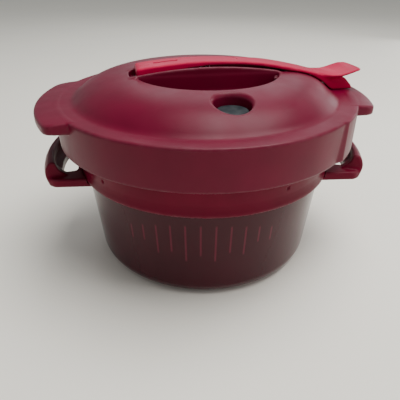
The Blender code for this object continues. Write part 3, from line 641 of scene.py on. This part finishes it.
def inner_field(x, y, z):
    radius = np.hypot(x, y)
    solid = inner_shell(radius, z)
    for place, size in INNER_HOLES:
        solid = minus(solid, np.hypot(x - place[0], y - place[1]) - size, 0.5)
    rib = np.maximum(slab(radius, 18, 84), slab(z, crown_z(radius) - 0.4, crown_z(radius) + 0.9))
    angle = fold(np.degrees(np.arctan2(y, x)), 8, 22.5)
    return join(solid, np.maximum(rib, sector(radius, angle, 0.0) - 0.9), 0.6)


# ---------------------------------------------------------------- materials

class Wire:
    """A small help for wiring shader nodes."""

    def __init__(self, name):
        self.material = bpy.data.materials.new(name)
        self.material.use_nodes = True
        self.tree = self.material.node_tree
        self.shader = self.tree.nodes["Principled BSDF"]
        self.place = self.add("ShaderNodeTexCoord").outputs["Object"]

    def add(self, kind, **settings):
        node = self.tree.nodes.new(kind)
        for name, value in settings.items():
            setattr(node, name, value)
        return node

    def link(self, source, target):
        self.tree.links.new(source, target)

    def noise(self, scale, detail=3.0, stretch=None):
        node = self.add("ShaderNodeTexNoise")
        node.inputs["Scale"].default_value = scale
        node.inputs["Detail"].default_value = detail
        place = self.place
        if stretch:
            mapping = self.add("ShaderNodeMapping")
            mapping.inputs["Scale"].default_value = stretch
            self.link(place, mapping.inputs["Vector"])
            place = mapping.outputs["Vector"]
        self.link(place, node.inputs["Vector"])
        return node.outputs["Fac"]

    def math(self, operation, *values):
        node = self.add("ShaderNodeMath", operation=operation)
        for socket, value in zip(node.inputs, values):
            if isinstance(value, (int, float)):
                socket.default_value = value
            else:
                self.link(value, socket)
        return node.outputs[0]

    def spread(self, value, low, high, new_low, new_high):
        node = self.add("ShaderNodeMapRange")
        self.link(value, node.inputs[0])
        for socket, number in zip(node.inputs[1:5], (low, high, new_low, new_high)):
            socket.default_value = number
        return node.outputs[0]

    def mix(self, share, first, second):
        node = self.add("ShaderNodeMix", data_type="RGBA")
        self.link(share, node.inputs["Factor"])
        for socket, colour in ((node.inputs["A"], first), (node.inputs["B"], second)):
            if isinstance(colour, tuple):
                socket.default_value = (*colour, 1.0)
            else:
                self.link(colour, socket)
        return node.outputs["Result"]


def tint(colour, factor):
    return tuple(min(1.0, channel * factor) for channel in colour)


def plastic(name, colour, roughness, grain=0.10, grain_scale=2200.0, specular=0.5, wear=0.35):
    """Moulded plastic: mottled colour, a fine spark-eroded grain and paler rubbed edges."""
    wire = Wire(name)
    shader = wire.shader
    cloud = wire.noise(38.0, 4.0)
    base = wire.mix(wire.spread(cloud, 0.3, 0.7, 0, 1), tint(colour, 0.90), tint(colour, 1.10))
    edge = wire.add("ShaderNodeNewGeometry").outputs["Pointiness"]
    on_edge = wire.spread(edge, 0.505, 0.56, 0, 1)
    rubbed = wire.math("MULTIPLY", on_edge, wire.spread(wire.noise(160.0), 0.35, 0.7, 0.1, wear))
    worn = tuple(0.72 * channel + 0.10 for channel in colour)
    colour_out = wire.mix(rubbed, base, worn)
    wire.link(colour_out, shader.inputs["Base Color"])
    smear = wire.noise(65.0, 5.0, (1.0, 1.0, 0.35))
    wire.link(wire.spread(smear, 0.3, 0.7, roughness - 0.05, roughness + 0.05), shader.inputs["Roughness"])
    shader.inputs["Specular IOR Level"].default_value = specular
    bump = wire.add("ShaderNodeBump")
    bump.inputs["Strength"].default_value = grain
    bump.inputs["Distance"].default_value = 0.0002
    wire.link(wire.noise(grain_scale, 2.0), bump.inputs["Height"])
    wire.link(bump.outputs["Normal"], shader.inputs["Normal"])
    return wire, colour_out


STRIPE_PITCH = 6.4
STRIPE_SHIFT = -5.4
STRIPE_TOP_Z = 70.8
STRIPE_FOOT_Z = 35.0
STRIPE_LAST = 5
POT_COLOUR = (0.044, 0.0010, 0.0075)
STRIPE_COLOUR = (0.115, 0.006, 0.022)
# painted reflection: a paler burgundy standing in for the table's light on the foot's rounded edge
FOOT_REFLECTION_COLOUR = (0.095, 0.006, 0.016)
COVER_COLOUR = (0.120, 0.0, 0.018)
COLLAR_COLOUR = (0.130, 0.001, 0.018)
LEVER_COLOUR = (0.43, 0.0, 0.046)
INNER_COLOUR = (0.36, 0.35, 0.345)
SILICONE_COLOUR = (0.23, 0.225, 0.22)
INDICATOR_COLOUR = (0.008, 0.013, 0.017)


def pot_material():
    """Dark glossy plastic with upright stripes at the front, longest in the middle, and a painted reflection
    of the table as a paler band round the foot.
    """
    wire, base = plastic("pot_dark_plastic", POT_COLOUR, 0.17, grain=0.03, specular=0.22, wear=0.2)
    split = wire.add("ShaderNodeSeparateXYZ")
    wire.link(wire.place, split.inputs[0])
    x, y, z = split.outputs
    angle = wire.math("DEGREES", wire.math("ARCTAN2", x, wire.math("MULTIPLY", y, -1.0)))
    place = wire.math("DIVIDE", wire.math("SUBTRACT", angle, STRIPE_SHIFT), STRIPE_PITCH)
    step = wire.math("ROUND", place)
    line = wire.spread(wire.math("ABSOLUTE", wire.math("SUBTRACT", place, step)), 0.045, 0.085, 1, 0)
    away = wire.math("ABSOLUTE", step)
    even = wire.math("SUBTRACT", 1.0, wire.math("MODULO", away, 2.0))
    square = wire.math("MULTIPLY", step, step)
    height = wire.math("MULTIPLY", z, 1000.0)
    top = wire.math("SUBTRACT", STRIPE_TOP_Z, wire.math("MULTIPLY", square, 0.36))
    rise = wire.math("ADD", wire.math("MULTIPLY", square, 0.5), wire.math("MULTIPLY", even, 6.0))
    foot = wire.math("ADD", STRIPE_FOOT_Z, rise)
    below = wire.spread(wire.math("SUBTRACT", top, height), 0.0, 2.0, 0, 1)
    above = wire.spread(wire.math("SUBTRACT", height, foot), 0.0, 2.0, 0, 1)
    near = wire.spread(away, STRIPE_LAST + 0.4, STRIPE_LAST + 0.6, 1, 0)
    mark = wire.math("MULTIPLY", wire.math("MULTIPLY", line, near), wire.math("MULTIPLY", below, above))
    # painted reflection: the bottom 3 to 7 mm fade to a paler burgundy, standing in for the table reflected
    # in the foot's rounded edge
    painted_foot_reflection = wire.spread(height, 3.0, 7.0, 1, 0)
    body = wire.mix(painted_foot_reflection, base, FOOT_REFLECTION_COLOUR)
    wire.link(wire.mix(mark, body, STRIPE_COLOUR), wire.shader.inputs["Base Color"])
    return wire.material


def steel_material():
    """Steel with a brushed grain."""
    wire = Wire("brushed_steel")
    shader = wire.shader
    shader.inputs["Metallic"].default_value = 1.0
    brush = wire.noise(900.0, 4.0, (1.0, 1.0, 0.05))
    wire.link(wire.mix(brush, (0.48, 0.48, 0.49), (0.68, 0.68, 0.69)), shader.inputs["Base Color"])
    wire.link(wire.spread(brush, 0.2, 0.8, 0.2, 0.38), shader.inputs["Roughness"])
    bump = wire.add("ShaderNodeBump")
    bump.inputs["Strength"].default_value = 0.15
    bump.inputs["Distance"].default_value = 0.0001
    wire.link(brush, bump.inputs["Height"])
    wire.link(bump.outputs["Normal"], shader.inputs["Normal"])
    return wire.material


def plain(*args, **settings):
    """A plastic with nothing more wired to its colour."""
    return plastic(*args, **settings)[0].material


COVER = plain("cover_plastic", COVER_COLOUR, 0.37, grain=0.16, specular=0.18)
COLLAR = plain("collar_plastic", COLLAR_COLOUR, 0.36, grain=0.12, specular=0.1)
LEVER = plain("lever_plastic", LEVER_COLOUR, 0.30, grain=0.08, specular=0.07)
INNER = plain("inner_plastic", INNER_COLOUR, 0.45)
SILICONE = plain("silicone_rubber", SILICONE_COLOUR, 0.62, grain=0.2, grain_scale=1400.0, specular=0.35)
TEAL = plain("indicator_plastic", INDICATOR_COLOUR, 0.45, specular=0.06)
STEEL = steel_material()
POT = pot_material()


# ---------------------------------------------------------------- making the pieces

RING_STEPS = 192
POT_STEPS = 256


def make_lid():
    cover = moulded("outer_cover_moulding", cover_field, (-135, -121, SKIRT_Z), (135, 121, 161), 0.9,
                    LID_TURN)
    settle_in(cover, COVER, "outer_lid", "cover_plastic", "outer_cover")
    ring = [(108.5, 116.3), (SKIRT_INNER - GAP, 116.3), (SKIRT_INNER - GAP, 121.5), (110.2, 121.5),
            (110.2, 117.8), (108.5, 117.8)]
    snap_ring = lathe("snap_ring", rounded(ring, 0.5), RING_STEPS, LID_TURN)
    settle_in(snap_ring, COLLAR, "outer_lid", "collar_plastic", "retaining_ring")
    lever = moulded("lever_moulding", lever_field, (-56, -18, 137), (136, 18, 165), 0.6, LID_TURN)
    settle_in(lever, LEVER, "lever", "lever_plastic", "release_lever")
    inner = moulded("inner_cover_moulding", inner_field, (-110, -110, 118), (110, 110, 135), 1.2, LID_TURN)
    settle_in(inner, INNER, "inner_lid", "inner_plastic", "inner_cover")
    gasket = [(99.0, 117.8), (107.2, 117.8), (107.2, 121.7), (99.0, 121.7), (99.0, 120.6), (101.0, 119.7),
              (99.0, 118.8)]
    sealing_ring = lathe("sealing_ring", rounded(gasket, 0.6), RING_STEPS, LID_TURN)
    settle_in(sealing_ring, SILICONE, "inner_lid", "silicone", "silicone_gasket")


def make_pot():
    settle_in(lathe("pot_moulding", pot_outline(), POT_STEPS), POT, "pot", "pot_plastic", "pot_shell")
    collar = moulded("collar_moulding", collar_field(), (-112, -112, COLLAR_Z), (112, 112, COLLAR_TOP_Z), 1.0)
    settle_in(collar, COLLAR, "pot", "collar_plastic", "pot_collar")
    for name, turn in (("right", 0.0), ("left", math.pi)):
        handle = moulded(name + "_handle_moulding", handle_field, (88, -48, 75), (135, 48, 96), 0.7, turn)
        settle_in(handle, COLLAR, "pot", "collar_plastic", name + "_pot_handle")


def dress_small_nodes():
    """The nodes that keep their own meshes get the material of their slot."""
    looks = {"silicone": SILICONE, "steel": STEEL, "indicator_plastic": TEAL, "inner_plastic": INNER}
    for row in frame["record"]["subparts"]:
        node = frame["nodes"][row["node"]]
        if row["material_slot"] in looks:
            node.data.materials.clear()
            node.data.materials.append(looks[row["material_slot"]])


# ---------------------------------------------------------------- stage, light and camera

def make_stage():
    floor = bpy.data.meshes.new("floor")
    work = bmesh.new()
    bmesh.ops.create_grid(work, x_segments=2, y_segments=2, size=4.0)
    work.to_mesh(floor)
    work.free()
    table = bpy.data.objects.new("floor", floor)
    bpy.context.scene.collection.objects.link(table)
    wire = Wire("pale_floor")
    soft = wire.noise(6.0, 3.0)
    wire.link(wire.mix(soft, (0.88, 0.85, 0.77), (0.92, 0.89, 0.81)), wire.shader.inputs["Base Color"])
    wire.shader.inputs["Roughness"].default_value = 0.6
    floor.materials.append(wire.material)


def lamp(name, power, size, place, target=(0, 0, 0.09), colour=(1, 1, 1)):
    light = bpy.data.lights.new(name, "AREA")
    light.energy = power
    light.size = size
    light.color = colour
    rig = bpy.data.objects.new(name, light)
    rig.location = place
    rig.rotation_euler = (Vector(target) - Vector(place)).to_track_quat('-Z', 'Y').to_euler()
    bpy.context.scene.collection.objects.link(rig)


def make_light():
    world = bpy.data.worlds.new("studio")
    bpy.context.scene.world = world
    world.use_nodes = True
    background = world.node_tree.nodes["Background"]
    background.inputs["Color"].default_value = (0.86, 0.88, 0.88, 1)
    background.inputs["Strength"].default_value = 0.42
    lamp("key", 25.0, 1.0, (0.33, -0.05, 1.3), colour=(1.0, 0.985, 0.955))
    lamp("back", 3.4, 1.0, (0.2, 1.2, 0.95), colour=(0.96, 0.98, 1.0))
    lamp("side", 2.0, 0.7, (1.1, -0.5, 0.5))
    lamp("low", 1.9, 0.6, (0.95, 0.85, 0.32), (0.08, -0.05, 0.14))


def make_camera():
    lens, distance, height = 38.004, 0.34722, 0.23318
    pitch, roll, aside, swing = 0.5205, 0.004866, 0.003075, math.radians(-4.0)
    camera = bpy.data.cameras.new("camera")
    camera.lens = lens
    camera.sensor_width = 36.0
    rig = bpy.data.objects.new("camera", camera)
    bpy.context.scene.collection.objects.link(rig)
    rig.matrix_world = (Matrix.Rotation(swing, 4, 'Z') @ Matrix.Translation((-aside, -distance, height))
                        @ Matrix.Rotation(math.pi / 2 - pitch, 4, 'X') @ Matrix.Rotation(roll, 4, 'Z'))
    bpy.context.scene.camera = rig


make_camera()
make_pot()
make_lid()
dress_small_nodes()
make_stage()
make_light()
